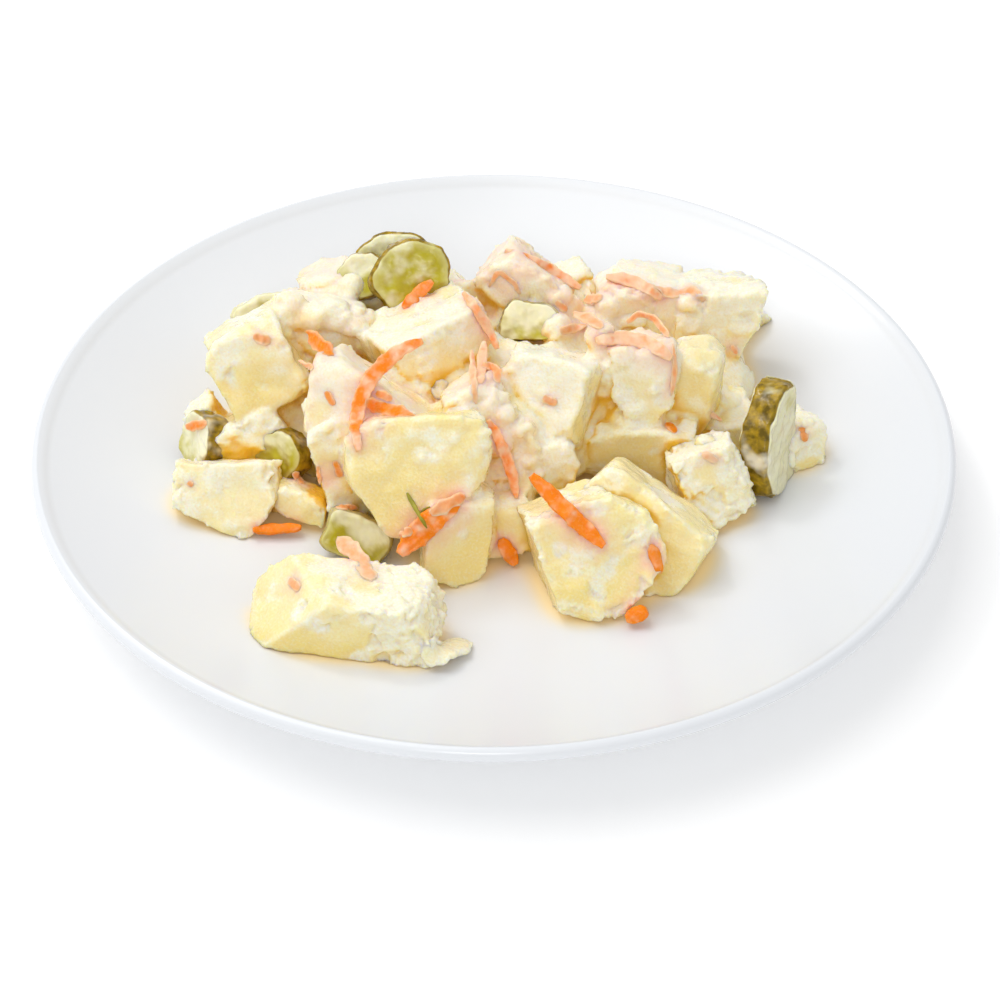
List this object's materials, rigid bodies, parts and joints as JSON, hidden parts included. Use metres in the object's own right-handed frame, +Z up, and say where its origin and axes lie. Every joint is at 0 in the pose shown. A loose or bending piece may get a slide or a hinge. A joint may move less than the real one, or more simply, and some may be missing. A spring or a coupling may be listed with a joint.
{
  "type": "plate of potato salad",
  "caption": "Helping of potato salad with gherkin slices and grated carrot, on a round white coupe plate.",
  "frame": {"origin": "middle of the plate's foot ring, on the table", "axes": "+Z up, the plate's own axis; the helping is seen from -Y, and +X is on that viewer's right"},
  "size_m": [0.25, 0.25, 0.0561],
  "materials": {
    "glazed_porcelain": "glossy white glaze",
    "dressed_potato": "moist boiled potato under creamy dressing",
    "pickled_gherkin": "wet yellow-green flesh, dark olive rind",
    "grated_carrot": "wet orange carrot"
  },
  "bodies": {
    "root": {"carrot_arch": "grated_carrot", "carrot_back": "grated_carrot", "carrot_back_right": "grated_carrot", "carrot_centre": "grated_carrot", "carrot_drape": "grated_carrot", "carrot_front": "grated_carrot", "carrot_front_right": "grated_carrot", "carrot_gherkin": "grated_carrot", "carrot_left_low": "grated_carrot", "carrot_low": "grated_carrot", "carrot_pale": "grated_carrot", "carrot_plate_bit": "grated_carrot", "carrot_side_bit": "grated_carrot", "carrot_upright": "grated_carrot", "gherkin_back_left": "pickled_gherkin", "gherkin_left": "pickled_gherkin", "gherkin_left_front": "pickled_gherkin", "gherkin_low": "pickled_gherkin", "gherkin_middle": "pickled_gherkin", "gherkin_right": "pickled_gherkin", "gherkin_top": "pickled_gherkin", "gherkin_top_left": "pickled_gherkin", "gherkin_top_rear": "pickled_gherkin", "plate": "glazed_porcelain", "potato_far_right": "dressed_potato", "potato_front_left": "dressed_potato", "potato_front_right": "dressed_potato", "potato_left": "dressed_potato", "potato_left_small": "dressed_potato", "potato_right": "dressed_potato", "potato_smooth": "dressed_potato", "salad_heap": "dressed_potato"}
  },
  "joints": []
}
